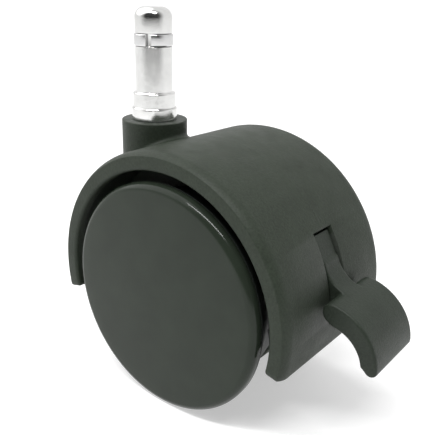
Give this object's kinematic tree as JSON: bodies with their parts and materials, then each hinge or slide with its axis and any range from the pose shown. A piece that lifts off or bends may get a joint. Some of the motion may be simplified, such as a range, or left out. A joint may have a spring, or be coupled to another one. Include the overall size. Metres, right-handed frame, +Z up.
{
  "type": "chair caster wheel",
  "caption": "Hooded twin-wheel swivel caster for an office chair, with a split-ring push-in stem and a foot-operated brake lever.",
  "frame": {"origin": "on the stem's axis at the foot of the 22 mm shank, where the chair's socket seats on the step", "axes": "+Z up along the stem, +X towards the trailing wheels and the brake lever, +Y along the axle towards the right wheel"},
  "size_m": [0.0903, 0.048, 0.0985],
  "materials": {
    "housing_nylon": "fine spark-eroded grain, matte",
    "cover_nylon": "smooth satin",
    "wheel_nylon": "satin, lightly scuffed",
    "lever_nylon": "fine grain, matte",
    "shoe_rubber": "matte",
    "plated_steel": "bright zinc plating",
    "ring_steel": "bright",
    "spring_steel": "satin",
    "washer_steel": "satin",
    "axle_steel": "ground",
    "acetal": "smooth"
  },
  "bodies": {
    "stem": {"stem": "plated_steel", "grip_ring": "ring_steel", "stem_snap_ring": "spring_steel"},
    "housing": {"housing": "housing_nylon", "stem_bush": "acetal", "thrust_washer": "washer_steel", "axle": "axle_steel", "left_spacer_washer": "washer_steel", "right_spacer_washer": "washer_steel", "left_push_nut": "spring_steel", "right_push_nut": "spring_steel", "brake_pivot_pin": "axle_steel", "detent_spring": "spring_steel"},
    "left_wheel": {"left_wheel_body": "wheel_nylon", "left_wheel_cover": "cover_nylon", "left_wheel_bush": "acetal"},
    "right_wheel": {"right_wheel_body": "wheel_nylon", "right_wheel_cover": "cover_nylon", "right_wheel_bush": "acetal"},
    "brake": {"brake_lever": "lever_nylon", "brake_shoe": "shoe_rubber"}
  },
  "joints": [
    {"name": "swivel", "type": "hinge", "parent": "stem", "child": "housing", "pos_m": [0, 0, -0.0074], "axis": [0, 0, 1], "continuous": true},
    {"name": "left_wheel_roll", "type": "hinge", "parent": "housing", "child": "left_wheel", "pos_m": [0.0237, 0, -0.0465], "axis": [0, 1, 0], "continuous": true},
    {"name": "right_wheel_roll", "type": "hinge", "parent": "housing", "child": "right_wheel", "pos_m": [0.0237, 0, -0.0465], "axis": [0, 1, 0], "continuous": true},
    {"name": "brake_lever_press", "type": "hinge", "parent": "housing", "child": "brake", "pos_m": [0.0512, 0, -0.0415], "axis": [0, 1, 0], "range_deg": [0, 12]}
  ]
}
